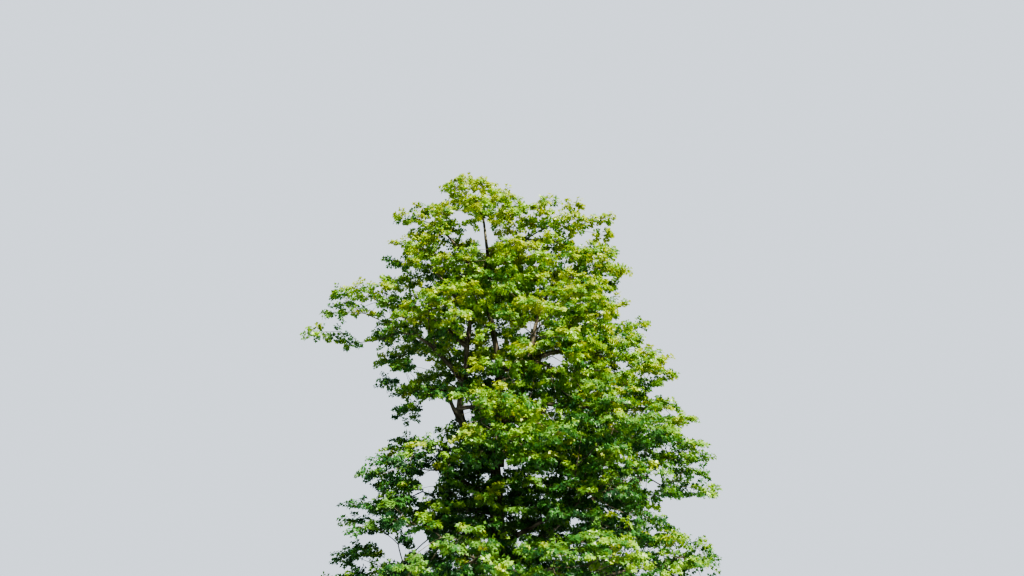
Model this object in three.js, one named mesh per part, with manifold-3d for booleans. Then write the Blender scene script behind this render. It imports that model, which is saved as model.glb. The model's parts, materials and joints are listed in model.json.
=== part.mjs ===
// A broad maple on one stem, in full summer leaf: the trunk, its leaders and main boughs, and the
// masses of foliage that they carry. Millimetres, +Z up. The origin is the middle of the flat cut
// under the trunk, at ground level. +X is the side with the broad shoulder, -X the side with the
// long low tip, and -Y is the front.

import * as THREE from 'three';
import { mergeVertices } from 'three/addons/utils/BufferGeometryUtils.js';
import Module from 'manifold-3d';

const wasm = await Module();
wasm.setup();

// Trunk: radii above the flare and at the fork, and where the middle of the stem stands at a few
// heights, because it leans right first and then back to the left.
const FORK_HEIGHT = 7400;
const TRUNK_FOOT_RADIUS = 345;
const TRUNK_FORK_RADIUS = 195;
const FLARE_REACH = 210;
const FLARE_HEIGHT = 420;
const ROOT_RIDGES = 4;
const ROOT_RIDGE_DEPTH = 0.3;
const CROTCH_ROUNDING = 350;
const CROTCH_NARROWING = 0.35;
const TRUNK_SIDES = 12;
const TRUNK_RINGS = 10;
const RING_CROWDING = 1.5;
const TRUNK_LINE = [
  [0, 0, 0],
  [60, 10, 1800],
  [120, 0, 3500],
  [-120, 20, 5300],
  [-160, 0, FORK_HEIGHT],
];

// Limbs: every one is a tapering tube with a collar where it leaves its parent.
const LIMB_SIDES = 6;
const LIMB_RINGS = 5;
const LEADER_RINGS = 8;
const COLLAR_SWELL = 0.3;
const COLLAR_LENGTH = 0.07;
const TIP_INSIDE_FOLIAGE = 260;

// Foliage: each mass is a ball with its own lumps, flatter below than above.
const BALL_DETAIL = 3;
const LUMPS = 14;
const LUMP_SPREAD = 0.34;
const LUMP_LEAST = -0.3;
const LUMP_MOST = 0.5;
const UNDERSIDE = 0.72;
const DROOP = 0.15;
const LUMP_LIFT = 0.1;
const TIP_DRAW = 0.9;
const TIP_SHARPNESS = 4;

// Keeps the random numbers of one mass apart from those of the next.
const SEED_STEP = 2654435761;

// Clearance between two pieces that touch, and the distance at which two vertices are one.
const SEAT_GAP = 0.5;
const WELD = 0.01;

const BARK = { color: '#6b6458', roughness: 0.9, metalness: 0 };
const LEAF_SUNLIT = { color: '#9cb535', roughness: 0.7, metalness: 0 };
const LEAF_GREEN = { color: '#6f9430', roughness: 0.7, metalness: 0 };
const LEAF_SHADED = { color: '#47692a', roughness: 0.75, metalness: 0 };

// Every mass: its middle, and how wide, deep and tall it is. A mass with a tip is drawn out to a
// point on that side.
const FOLIAGE = [
  { name: 'foliage_top_cap', at: [-700, 0, 17480], size: [3300, 3000, 1990], leaf: LEAF_SUNLIT },
  { name: 'foliage_top_left', at: [-2550, -300, 16350], size: [2700, 2400, 1600], leaf: LEAF_SUNLIT },
  { name: 'foliage_top_right', at: [2050, 300, 16480], size: [4300, 3000, 2000], leaf: LEAF_SUNLIT },
  { name: 'foliage_upper_left', at: [-3000, -400, 14850], size: [3000, 2900, 2000], leaf: LEAF_GREEN },
  { name: 'foliage_upper_front', at: [100, -1400, 14200], size: [3700, 3300, 2500], leaf: LEAF_SUNLIT },
  { name: 'foliage_upper_right', at: [3000, 300, 14800], size: [3300, 3300, 2500], leaf: LEAF_GREEN },
  { name: 'foliage_upper_back', at: [-300, 2600, 14900], size: [4600, 3200, 3200], leaf: LEAF_GREEN },
  { name: 'foliage_high_left', at: [-4550, -500, 12900], size: [3800, 3000, 1600],
    leaf: LEAF_GREEN, tip: [-1, 0, 0] },
  { name: 'foliage_high_front_left', at: [-2050, -2000, 11900], size: [3300, 3100, 2300],
    leaf: LEAF_SUNLIT },
  { name: 'foliage_high_front_right', at: [1900, -2700, 11900], size: [3700, 2800, 2700],
    leaf: LEAF_SUNLIT },
  { name: 'foliage_high_right', at: [3600, 500, 12600], size: [3300, 3500, 2700], leaf: LEAF_GREEN },
  { name: 'foliage_high_back_left', at: [-2400, 3000, 11900], size: [4500, 3500, 3100],
    leaf: LEAF_GREEN },
  { name: 'foliage_high_back_right', at: [2200, 3700, 12100], size: [4300, 3500, 3200],
    leaf: LEAF_GREEN },
  { name: 'foliage_far_left', at: [-5200, -700, 11850], size: [3700, 2300, 1300],
    leaf: LEAF_GREEN, tip: [-1, 0, 0.3] },
  { name: 'foliage_mid_right', at: [4350, -300, 10600], size: [3100, 3600, 2700], leaf: LEAF_SUNLIT },
  { name: 'foliage_mid_front', at: [1500, -3500, 9850], size: [3300, 2800, 2300], leaf: LEAF_SUNLIT },
  { name: 'foliage_left_hang', at: [-3000, -300, 9650], size: [2100, 2900, 2400],
    leaf: LEAF_SHADED, tip: [0.2, 0, -1] },
  { name: 'foliage_mid_back_left', at: [-600, 4300, 9200], size: [3300, 3300, 2900],
    leaf: LEAF_SHADED },
  { name: 'foliage_mid_back_right', at: [2900, 3700, 9200], size: [4100, 3700, 3300],
    leaf: LEAF_GREEN },
  { name: 'foliage_core_right', at: [1550, -100, 7000], size: [3300, 3100, 4300], leaf: LEAF_SHADED },
  { name: 'foliage_right_shoulder', at: [5150, 0, 8800], size: [3000, 3700, 2700], leaf: LEAF_GREEN },
  { name: 'foliage_front_bright', at: [250, -4300, 7450], size: [3500, 3000, 2400], leaf: LEAF_SUNLIT },
  { name: 'foliage_front_right', at: [3200, -3200, 8000], size: [3500, 3100, 2900], leaf: LEAF_GREEN },
  { name: 'foliage_left_shelf', at: [-2550, -900, 7150], size: [3900, 3600, 1800], leaf: LEAF_SHADED },
  { name: 'foliage_right_low', at: [5850, 0, 7100], size: [2800, 3700, 2500],
    leaf: LEAF_GREEN, tip: [0.6, 0, -1] },
  { name: 'foliage_front_low_right', at: [3200, -3700, 5600], size: [3800, 3200, 2900],
    leaf: LEAF_SHADED },
  { name: 'foliage_left_low', at: [-2700, -1700, 5450], size: [4400, 3500, 2450], leaf: LEAF_SHADED },
  { name: 'foliage_back_low_left', at: [-2700, 3300, 6500], size: [4300, 4000, 3000],
    leaf: LEAF_SHADED },
  { name: 'foliage_back_low_right', at: [3000, 3700, 6300], size: [4900, 4100, 3400],
    leaf: LEAF_SHADED },
  { name: 'foliage_skirt_left', at: [-4100, -100, 3800], size: [3000, 3900, 2300], leaf: LEAF_SHADED },
  { name: 'foliage_skirt_front_left', at: [-1500, -4300, 3900], size: [3300, 2900, 2200],
    leaf: LEAF_GREEN },
  { name: 'foliage_skirt_front_right', at: [2200, -4800, 3700], size: [3800, 3000, 2400],
    leaf: LEAF_SUNLIT },
  { name: 'foliage_skirt_right', at: [5350, -500, 4000], size: [3000, 3900, 2200], leaf: LEAF_GREEN },
  { name: 'foliage_skirt_back_left', at: [-2300, 3800, 3900], size: [4300, 3700, 2700],
    leaf: LEAF_SHADED },
  { name: 'foliage_skirt_back_right', at: [2700, 3600, 3700], size: [4500, 3600, 2500],
    leaf: LEAF_SHADED },
];

// Every limb: where it starts inside its parent, its bends, and the mass that it enters, with its
// radius at both ends. A limb comes after its parent.
const LIMBS = [
  { name: 'leader_centre', from: [-150, 0, 7000],
    bends: [[70, 30, 8700], [-170, 50, 9900], [-90, 60, 11000], [-340, 60, 12100],
      [-530, 60, 13300], [-450, 60, 14500], [-540, 50, 15400], [-830, 40, 16200]],
    into: 'foliage_top_cap', radii: [165, 42] },
  { name: 'leader_left', from: [-160, 0, 6950],
    bends: [[-700, -250, 7480], [-1340, -450, 8100], [-1440, -540, 9000], [-1250, -600, 9550],
      [-1220, -600, 10900], [-1160, -580, 12000], [-1000, -400, 14000]],
    into: 'foliage_top_left', radii: [135, 40] },
  { name: 'leader_right', from: [20, 20, 8300],
    bends: [[600, -150, 9300], [1080, -200, 11300], [1310, -200, 12400], [1780, -100, 13500]],
    into: 'foliage_upper_right', radii: [110, 50] },
  { name: 'bough_top_right', from: [-450, 60, 14500], bends: [[600, 150, 15500]],
    into: 'foliage_top_right', radii: [70, 35] },
  { name: 'bough_upper_left', from: [-1140, -550, 12300], bends: [[-2000, -500, 13500]],
    into: 'foliage_upper_left', radii: [75, 38] },
  { name: 'bough_high_left', from: [-1215, -600, 11100], bends: [[-2500, -480, 12250]],
    into: 'foliage_high_left', radii: [85, 40] },
  { name: 'bough_far_left', from: [-1245, -605, 9750],
    bends: [[-2050, -700, 10700], [-2900, -740, 11450]],
    into: 'foliage_far_left', radii: [95, 45] },
  { name: 'bough_left_arm', from: [-1400, -500, 8500], bends: [[-1700, -600, 9050], [-1850, -620, 9500]],
    into: 'foliage_left_hang', radii: [80, 45] },
  { name: 'bough_cross_right', from: [-170, 50, 9900],
    bends: [[480, 0, 10360], [1000, 0, 10770], [2350, -50, 11200]],
    into: 'foliage_mid_right', radii: [100, 50] },
  { name: 'bough_shoulder', from: [580, -145, 9250], bends: [[2400, -100, 9100]],
    into: 'foliage_right_shoulder', radii: [90, 50] },
  { name: 'bough_right_low', from: [60, 0, 4000], bends: [[1300, -60, 4650], [2600, -50, 5700]],
    into: 'foliage_right_low', radii: [115, 55] },
  { name: 'bough_right_base', from: [80, 0, 2900], bends: [[2200, -250, 3300]],
    into: 'foliage_skirt_right', radii: [95, 45] },
  { name: 'bough_left_shelf', from: [-130, 10, 5900], bends: [[-560, -150, 6120]],
    into: 'foliage_left_shelf', radii: [100, 50] },
  { name: 'bough_left_low', from: [-60, 10, 4700], bends: [[-380, -150, 4860]],
    into: 'foliage_left_low', radii: [95, 50] },
  { name: 'bough_left_base', from: [90, 10, 3150], bends: [[-1500, 0, 3350]],
    into: 'foliage_skirt_left', radii: [90, 45] },
  { name: 'bough_front_high', from: [-140, 55, 10400], bends: [[600, -1500, 10100]],
    into: 'foliage_mid_front', radii: [85, 45] },
  { name: 'bough_front_mid', from: [-1430, -530, 8900], bends: [[-500, -2300, 8450]],
    into: 'foliage_front_bright', radii: [75, 45] },
  { name: 'bough_front_low', from: [0, 10, 4450], bends: [[1200, -1900, 4950]],
    into: 'foliage_front_low_right', radii: [100, 50] },
  { name: 'bough_front_base', from: [90, 10, 2600], bends: [[500, -2100, 3150]],
    into: 'foliage_skirt_front_right', radii: [100, 50] },
  { name: 'bough_front_left', from: [100, 0, 3700], bends: [[-350, -1700, 3850]],
    into: 'foliage_skirt_front_left', radii: [85, 45] },
  { name: 'bough_back_high', from: [-355, 60, 12200], bends: [[-500, 1200, 13400]],
    into: 'foliage_upper_back', radii: [80, 45] },
  { name: 'bough_back_mid', from: [70, 30, 8700], bends: [[50, 2000, 9200]],
    into: 'foliage_mid_back_left', radii: [100, 55] },
  { name: 'bough_back_low', from: [-120, 20, 5500], bends: [[-1500, 1500, 5900]],
    into: 'foliage_back_low_left', radii: [110, 55] },
  { name: 'bough_back_base', from: [90, 10, 3000], bends: [[900, 1900, 3400]],
    into: 'foliage_skirt_back_right', radii: [100, 50] },
];

// Gives numbers from 0 to 1 that are the same on every run.
function seededNumbers(seed) {
  let upcoming = THREE.MathUtils.seededRandom(seed * SEED_STEP);
  return () => {
    const number = upcoming;
    upcoming = THREE.MathUtils.seededRandom();
    return number;
  };
}

// Joins the vertices of a shape so that it closes.
function welded(geometry) {
  geometry.deleteAttribute('normal');
  geometry.deleteAttribute('uv');
  return mergeVertices(geometry, WELD);
}

function toSolid(geometry) {
  const { position } = geometry.attributes;
  const vertProperties = new Float32Array(position.array);
  const triVerts = new Uint32Array(geometry.index.array);
  return new wasm.Manifold(new wasm.Mesh({ numProp: 3, vertProperties, triVerts }));
}

function toGeometry(solid) {
  const { vertProperties, triVerts } = solid.getMesh();
  const geometry = new THREE.BufferGeometry();
  geometry.setAttribute('position', new THREE.BufferAttribute(vertProperties, 3));
  geometry.setIndex(new THREE.BufferAttribute(triVerts, 1));
  geometry.computeVertexNormals();
  return geometry;
}

// The same shape with its skin moved outward, to cut a seat with a small clearance. Every face that
// meets at a vertex counts the same there, so that a rim moves out and along alike.
function swollen(geometry, gap) {
  const copy = geometry.clone();
  const { position } = copy.attributes;
  const corners = copy.index.array;
  const outward = Array.from({ length: position.count }, () => new THREE.Vector3());
  const face = new THREE.Triangle();
  const normal = new THREE.Vector3();
  for (let i = 0; i < corners.length; i += 3) {
    const three = [corners[i], corners[i + 1], corners[i + 2]];
    face.setFromAttributeAndIndices(position, ...three).getNormal(normal);
    for (const corner of three) outward[corner].add(normal);
  }
  outward.forEach((way, i) => {
    way.setLength(gap);
    position.setXYZ(i, position.getX(i) + way.x, position.getY(i) + way.y, position.getZ(i) + way.z);
  });
  return copy;
}

// The trunk is made of level slices, closer together near the flare, so that its foot is a flat cut.
function trunkShape() {
  const shape = new THREE.CylinderGeometry(1, 1, 1, TRUNK_SIDES, TRUNK_RINGS);
  const { position } = shape.attributes;
  const line = new THREE.CatmullRomCurve3(TRUNK_LINE.map((p) => new THREE.Vector3(...p)));
  const middle = new THREE.Vector3();
  for (let i = 0; i < position.count; i++) {
    const side = new THREE.Vector2(position.getX(i), -position.getZ(i));
    line.getPoint((position.getY(i) + 0.5) ** RING_CROWDING, middle);
    const height = middle.z;
    const taper = THREE.MathUtils.lerp(TRUNK_FOOT_RADIUS, TRUNK_FORK_RADIUS, height / FORK_HEIGHT);
    const ridge = 1 + ROOT_RIDGE_DEPTH * Math.cos(ROOT_RIDGES * side.angle());
    const flare = FLARE_REACH * ridge * Math.exp(-height / FLARE_HEIGHT);
    const crotch = 1 - CROTCH_NARROWING * Math.exp((height - FORK_HEIGHT) / CROTCH_ROUNDING);
    const radius = (taper + flare) * crotch;
    position.setXYZ(i, middle.x + side.x * radius, middle.y + side.y * radius, height);
  }
  return welded(shape);
}

// A limb is a cylinder whose rings are carried along a curve.
function limbShape(points, radii, rings) {
  const shape = new THREE.CylinderGeometry(1, 1, 1, LIMB_SIDES, rings);
  const { position } = shape.attributes;
  const line = new THREE.CatmullRomCurve3(points);
  const frames = line.computeFrenetFrames(rings);
  for (let i = 0; i < position.count; i++) {
    const share = position.getY(i) + 0.5;
    const ring = Math.round(share * rings);
    const collar = 1 + COLLAR_SWELL * Math.exp(-share / COLLAR_LENGTH);
    const radius = THREE.MathUtils.lerp(radii[0], radii[1], share) * collar;
    const place = line.getPointAt(share);
    place.addScaledVector(frames.normals[ring], position.getX(i) * radius);
    place.addScaledVector(frames.binormals[ring], -position.getZ(i) * radius);
    position.setXYZ(i, place.x, place.y, place.z);
  }
  return welded(shape);
}

// Where a limb that comes from a point ends: just inside the skin of the mass that it enters.
function entryPoint(start, shape) {
  shape.computeBoundingBox();
  const middle = shape.boundingBox.getCenter(new THREE.Vector3());
  const way = middle.sub(start).normalize();
  const [skin] = new THREE.Raycaster(start, way).intersectObject(new THREE.Mesh(shape));
  return start.clone().addScaledVector(way, skin.distance + TIP_INSIDE_FOLIAGE);
}

// A mass of leaves: lumps on a ball, a flatter underside, a tip where it has one, and then the
// whole is fitted to its stated width, depth and height.
function foliageShape({ at, size, tip }, seed) {
  const random = seededNumbers(seed);
  const shape = welded(new THREE.OctahedronGeometry(1, BALL_DETAIL));
  const lumps = Array.from({ length: LUMPS }, () => ({
    way: new THREE.Vector3(random() - 0.5, random() - 0.5, random() - 0.5 + LUMP_LIFT).normalize(),
    height: THREE.MathUtils.lerp(LUMP_LEAST, LUMP_MOST, random()),
  }));
  const drawn = tip ? new THREE.Vector3(...tip).normalize() : null;
  const { position } = shape.attributes;
  const way = new THREE.Vector3();
  for (let i = 0; i < position.count; i++) {
    way.fromBufferAttribute(position, i).normalize();
    let reach = 1;
    for (const lump of lumps) {
      const near = Math.max(0, (way.dot(lump.way) - 1 + LUMP_SPREAD) / LUMP_SPREAD);
      reach += lump.height * near ** 2;
    }
    if (drawn) reach *= 1 + TIP_DRAW * Math.max(0, way.dot(drawn)) ** TIP_SHARPNESS;
    const sink = way.z < 0 ? UNDERSIDE : 1;
    const sag = DROOP * (way.x ** 2 + way.y ** 2);
    position.setXYZ(i, way.x * reach, way.y * reach, (way.z * sink - sag) * reach);
  }
  shape.computeBoundingBox();
  const box = shape.boundingBox;
  const span = box.getSize(new THREE.Vector3());
  const middle = box.getCenter(new THREE.Vector3());
  shape.translate(-middle.x, -middle.y, -middle.z);
  shape.scale(size[0] / span.x, size[1] / span.y, size[2] / span.z);
  shape.translate(...at);
  return shape;
}

const tree = new THREE.Group();
const standing = [];

// Cuts a shape round everything that already stands near it, keeps its largest piece, and adds it.
function plant(name, shape, finish) {
  shape.computeBoundingBox();
  let solid = toSolid(shape);
  for (const other of standing) {
    if (other.box.intersectsBox(shape.boundingBox)) solid = solid.subtract(other.cutter);
  }
  const [body] = solid.decompose().sort((a, b) => b.volume() - a.volume());
  standing.push({ box: shape.boundingBox.clone(), cutter: toSolid(swollen(shape, SEAT_GAP)) });
  const mesh = new THREE.Mesh(toGeometry(body), new THREE.MeshStandardMaterial(finish));
  mesh.name = name;
  tree.add(mesh);
}

const masses = new Map(FOLIAGE.map((mass, index) => [mass.name, foliageShape(mass, index + 1)]));

plant('trunk', trunkShape(), BARK);

for (const { name, from, bends, into, radii } of LIMBS) {
  const points = [from, ...bends].map((p) => new THREE.Vector3(...p));
  points.push(entryPoint(points.at(-1), masses.get(into)));
  const rings = name.startsWith('leader') ? LEADER_RINGS : LIMB_RINGS;
  plant(name, limbShape(points, radii, rings), BARK);
}

for (const { name, leaf } of FOLIAGE) plant(name, masses.get(name), leaf);

export default tree;
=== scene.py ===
# %% [markdown]
# This is a broad maple in full summer leaf, 18.5 m tall on one stem. The solids that come with it
# hold its size: a trunk, its leaders and boughs, and the masses of foliage. This lesson keeps
# those sizes and makes the looks: wood with bark, branches that grow on from the boughs by a
# seeded rule, and nearly two hundred thousand leaves, each with its own outline.

# %% Load the frame
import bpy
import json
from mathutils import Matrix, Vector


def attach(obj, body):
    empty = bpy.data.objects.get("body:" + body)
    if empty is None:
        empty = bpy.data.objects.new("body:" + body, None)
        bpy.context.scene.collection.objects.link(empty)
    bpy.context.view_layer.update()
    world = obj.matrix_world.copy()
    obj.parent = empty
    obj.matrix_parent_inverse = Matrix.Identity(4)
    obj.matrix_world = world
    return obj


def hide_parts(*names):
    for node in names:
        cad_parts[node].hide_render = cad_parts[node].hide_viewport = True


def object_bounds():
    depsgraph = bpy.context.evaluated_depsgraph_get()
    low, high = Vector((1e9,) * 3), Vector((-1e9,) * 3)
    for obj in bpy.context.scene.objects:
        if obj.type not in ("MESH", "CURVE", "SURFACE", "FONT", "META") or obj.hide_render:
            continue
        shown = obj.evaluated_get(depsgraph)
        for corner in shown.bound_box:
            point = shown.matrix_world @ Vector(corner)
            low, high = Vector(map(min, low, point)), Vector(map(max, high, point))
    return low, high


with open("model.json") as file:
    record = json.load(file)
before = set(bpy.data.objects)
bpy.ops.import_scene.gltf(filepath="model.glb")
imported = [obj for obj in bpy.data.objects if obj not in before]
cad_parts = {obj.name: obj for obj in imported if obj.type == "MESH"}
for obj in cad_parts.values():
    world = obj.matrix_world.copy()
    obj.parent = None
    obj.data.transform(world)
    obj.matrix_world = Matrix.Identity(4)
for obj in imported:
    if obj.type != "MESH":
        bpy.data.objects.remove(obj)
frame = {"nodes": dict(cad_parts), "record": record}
cad_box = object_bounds()
print("CAD box", [round(v, 2) for corner in cad_box for v in corner])

# %% [markdown]
# A tree has far too many twigs and leaves to place by hand, so numpy works out thousands at once,
# and search trees find the nearest place on a skin or a line. Everything that is left to chance is
# drawn from one seed, so the same tree grows on each run.

# %% Tools of the trade
import heapq
import json
import math

import bmesh
import bpy
import numpy as np
from mathutils import Vector, noise
from mathutils.bvhtree import BVHTree
from mathutils.kdtree import KDTree

SEED = 7
noise.seed_set(SEED)
scene = bpy.context.scene
nodes = frame["nodes"]
UP = np.array((0.0, 0.0, 1.0))
foliage_names = sorted(name for name in nodes if name.startswith("foliage_"))
limb_names = sorted(name for name in nodes if name.startswith("bough_"))
print(len(foliage_names), "masses of foliage,", len(limb_names), "boughs")

# %% [markdown]
# The photograph looks up at the crown from eye height on level ground, so the camera stands there
# and is tilted up. Its lens is that of a phone, and the crown fills the middle of the picture.

# %% Camera at the photograph's place
EYE_HEIGHT = 1.6
CAMERA_DISTANCE = 27.0
CAMERA_ASIDE = 0.38
CAMERA_TILT_UP = 24.0
CAMERA_LENS = 28.0
FARTHEST_SEEN = 500.0

camera_data = bpy.data.cameras.new("camera")
camera_data.lens = CAMERA_LENS
camera_data.clip_end = FARTHEST_SEEN
camera = bpy.data.objects.new("camera", camera_data)
camera.location = (CAMERA_ASIDE, -CAMERA_DISTANCE, EYE_HEIGHT)
camera.rotation_euler = (math.radians(90.0 + CAMERA_TILT_UP), 0.0, 0.0)
scene.collection.objects.link(camera)
scene.camera = camera
print("camera", CAMERA_DISTANCE, "m away")

# %% [markdown]
# Colours are chosen as they look on a screen, as hex codes. A shader works on linear light, so one
# function turns a code into the four numbers that a socket takes. One more function adds a node
# with its settings and its links, which keeps every material to a few readable lines.

# %% Colour and node helpers


def linear(code):
    """The linear red, green, blue and alpha of a hex colour."""
    shares = [int(code[i:i + 2], 16) / 255 for i in (1, 3, 5)]
    return (*[s / 12.92 if s <= 0.04045 else ((s + 0.055) / 1.055) ** 2.4 for s in shares], 1.0)


def add_node(tree, kind, settings=(), links=()):
    """Adds a node. A setting names a property or a socket, and a link feeds a socket."""
    node = tree.nodes.new(kind)
    for name, value in dict(settings).items():
        if isinstance(name, str) and hasattr(node, name):
            setattr(node, name, value)
        else:
            node.inputs[name].default_value = value
    for name, socket in dict(links).items():
        tree.links.new(socket, node.inputs[name])
    return node


def new_material(name):
    """An empty material and its tree, with an output to link to."""
    material = bpy.data.materials.new(name)
    material.use_nodes = True
    material.node_tree.nodes.clear()
    return material, material.node_tree


# %% [markdown]
# Daylight is strong from the upper right in front, and the leaves throw shade on each other. In
# the studio that is one strong lamp as far off as the sun and a little wider, and a surround that
# fills the shade. The camera sees a pale backdrop instead of that surround. The AgX view keeps the
# brightest leaves from burning out, and its contrast look keeps the shade deep.

# %% Studio light and floor
SUN_FROM = Vector((0.55, -0.68, 0.98))
SUN_STRENGTH = 11.3
SUN_WIDTH = 1.5
SUN_COLOUR = "#fff8ea"
FILL_COLOUR = "#c6dcf4"
FILL_STRENGTH = 0.6
BACKDROP_COLOUR = "#e4edf8"
FLOOR_COLOUR = "#8a8d90"
FLOOR_HALF = 70.0

sun_data = bpy.data.lights.new("key light", "SUN")
sun_data.energy = SUN_STRENGTH
sun_data.angle = math.radians(SUN_WIDTH)
sun_data.color = linear(SUN_COLOUR)[:3]
sun = bpy.data.objects.new("key light", sun_data)
sun.rotation_euler = SUN_FROM.to_track_quat("Z", "Y").to_euler()
scene.collection.objects.link(sun)

world = bpy.data.worlds.new("pale surround")
world.use_nodes = True
world.node_tree.nodes.clear()
fill = add_node(world.node_tree, "ShaderNodeBackground",
                {"Color": linear(FILL_COLOUR), "Strength": FILL_STRENGTH})
backdrop = add_node(world.node_tree, "ShaderNodeBackground", {"Color": linear(BACKDROP_COLOUR)})
ray_kind = add_node(world.node_tree, "ShaderNodeLightPath")
seen = add_node(world.node_tree, "ShaderNodeMixShader", (),
                {0: ray_kind.outputs["Is Camera Ray"], 1: fill.outputs[0], 2: backdrop.outputs[0]})
add_node(world.node_tree, "ShaderNodeOutputWorld", (), {"Surface": seen.outputs[0]})
scene.world = world
scene.view_settings.view_transform = "AgX"
scene.view_settings.look = "AgX - High Contrast"

floor_bm = bmesh.new()
bmesh.ops.create_grid(floor_bm, x_segments=1, y_segments=1, size=FLOOR_HALF)
floor_mesh = bpy.data.meshes.new("floor")
floor_bm.to_mesh(floor_mesh)
floor_bm.free()
floor = bpy.data.objects.new("floor", floor_mesh)
scene.collection.objects.link(floor)
floor_material, tree = new_material("matt studio floor")
floor_shader = add_node(tree, "ShaderNodeBsdfPrincipled",
                        {"Base Color": linear(FLOOR_COLOUR), "Roughness": 0.9})
add_node(tree, "ShaderNodeOutputMaterial", (), {"Surface": floor_shader.outputs[0]})
floor_mesh.materials.append(floor_material)
print("light and floor are in place")

# %% [markdown]
# The bark of such a maple is grey-brown and closely furrowed, with flat ridges a few centimetres wide
# that run up the stem and join each other. The mesh has the ridges. The shader adds what is finer: paler
# ridges and darker furrows, which are partly the bark's own colour and partly painted light on the ridges
# and painted shade in the furrows, and a touch of green where it stays damp. Ridges run along their limb
# whichever way it grows, so the pattern is not laid on plain coordinates but on the grain, an attribute
# that each mesh of wood is given further down.

# %% Bark material
# The dark and pale browns are partly the bark's own colours and partly painted shade and painted light.
BARK_DARK = "#2f2a24"
BARK_MID = "#5d554a"
BARK_PALE = "#8d8475"
BARK_GREEN = "#5f6247"
RIDGE_WIDTH = 0.055
RIDGE_LENGTH = 0.26
GRIT_SIZE = 0.006
GRIT_HEIGHT = 0.012
TONE_STOPS = (0.36, 0.5, 0.66)
DAMP_SCALE = 0.9
DAMP_STARTS = 0.5
DAMP_FULL = 0.75
DAMP_MOST = 0.5
# A Mix node has a set of sockets for each kind of data, so its colour sockets go by number.
MIX_SHARE, MIX_FIRST, MIX_SECOND, MIX_RESULT = 0, 6, 7, 2


def bark_material():
    """Furrowed bark whose pattern follows the grain that each mesh carries."""
    material, tree = new_material("furrowed maple bark")
    place = add_node(tree, "ShaderNodeTexCoord").outputs["Object"]
    grain = add_node(tree, "ShaderNodeAttribute", {"attribute_name": "grain"}).outputs["Vector"]
    ridges = add_node(tree, "ShaderNodeTexNoise", {"Scale": 0.5 / RIDGE_WIDTH, "Detail": 6.0,
                                                   "Roughness": 0.6, "Distortion": 0.4},
                      {"Vector": grain})
    # From dark furrows to pale ridges: the bark's own colour, with painted shade in the furrows and
    # painted light on the ridges.
    tone_with_painted_light_and_shade = add_node(tree, "ShaderNodeValToRGB", (), {"Fac": ridges.outputs["Fac"]})
    stops = tone_with_painted_light_and_shade.color_ramp.elements
    stops[0].position = TONE_STOPS[0]
    stops[0].color = linear(BARK_DARK)
    stops[1].position = TONE_STOPS[2]
    stops[1].color = linear(BARK_PALE)
    stops.new(TONE_STOPS[1]).color = linear(BARK_MID)
    damp = add_node(tree, "ShaderNodeTexNoise", {"Scale": DAMP_SCALE, "Detail": 3.0}, {"Vector": place})
    damp_share = add_node(tree, "ShaderNodeMapRange",
                          {"From Min": DAMP_STARTS, "From Max": DAMP_FULL, "To Max": DAMP_MOST},
                          {"Value": damp.outputs["Fac"]})
    colour = add_node(tree, "ShaderNodeMix", {"data_type": "RGBA"},
                      {MIX_SHARE: damp_share.outputs[0], MIX_FIRST: tone_with_painted_light_and_shade.outputs["Color"]})
    colour.inputs[MIX_SECOND].default_value = linear(BARK_GREEN)
    grit = add_node(tree, "ShaderNodeTexNoise", {"Scale": 0.5 / GRIT_SIZE, "Detail": 4.0},
                    {"Vector": grain})
    relief = add_node(tree, "ShaderNodeMath", {"operation": "ADD"},
                      {0: ridges.outputs["Fac"], 1: grit.outputs["Fac"]})
    bump = add_node(tree, "ShaderNodeBump", {"Strength": 0.6, "Distance": GRIT_HEIGHT},
                    {"Height": relief.outputs[0]})
    shader = add_node(tree, "ShaderNodeBsdfPrincipled", {"Roughness": 0.88, "Specular IOR Level": 0.25},
                      {"Base Color": colour.outputs[MIX_RESULT], "Normal": bump.outputs[0]})
    add_node(tree, "ShaderNodeOutputMaterial", (), {"Surface": shader.outputs[0]})
    return material


bark = bark_material()
print("made", bark.name)

# %% [markdown]
# Young wood is smooth and brown. It is far too thin for a pattern to show, so its colour is plain.

# %% Twig material
TWIG_BROWN = "#5b4a36"


def twig_material():
    """Smooth young wood."""
    material, tree = new_material("smooth young maple wood")
    shader = add_node(tree, "ShaderNodeBsdfPrincipled",
                      {"Base Color": linear(TWIG_BROWN), "Roughness": 0.7, "Specular IOR Level": 0.3})
    add_node(tree, "ShaderNodeOutputMaterial", (), {"Surface": shader.outputs[0]})
    return material


young_wood = twig_material()
print("made", young_wood.name)

# %% [markdown]
# A leaf is thin: it sends some light back and lets some through, which is yellower. So each leaf material
# mixes a surface with a faint wax sheen and a translucent one. The leaves differ by spray, and the tints
# are painted light and shade: yellow-green is painted sunlight, fresh green lies between, and deep green
# is painted shade.
# Each tint is a plain colour with its own material, and a spray is one twig with its leaves.

# %% Leaf materials
# Gold and sunlit are lit copies of the leaf colour, fresh and mid lie between, and deep is a shaded copy:
# painted light and painted shade.
LEAF_TINTS = {
    "leaves_gold": ("leaves_sunlit", "#98ac4a", "#c0cc46"),
    "leaves_sunlit": ("leaves_sunlit", "#84a849", "#aecc46"),
    "leaves_fresh": ("leaves_green", "#648c42", "#92b83f"),
    "leaves_mid": ("leaves_green", "#427038", "#6c9c39"),
    "leaves_deep": ("leaves_shaded", "#294e2d", "#487c32"),
}
LEAF_GLOW = 0.32
LEAF_ROUGHNESS = 0.4
LEAF_SHEEN = 0.5


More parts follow.
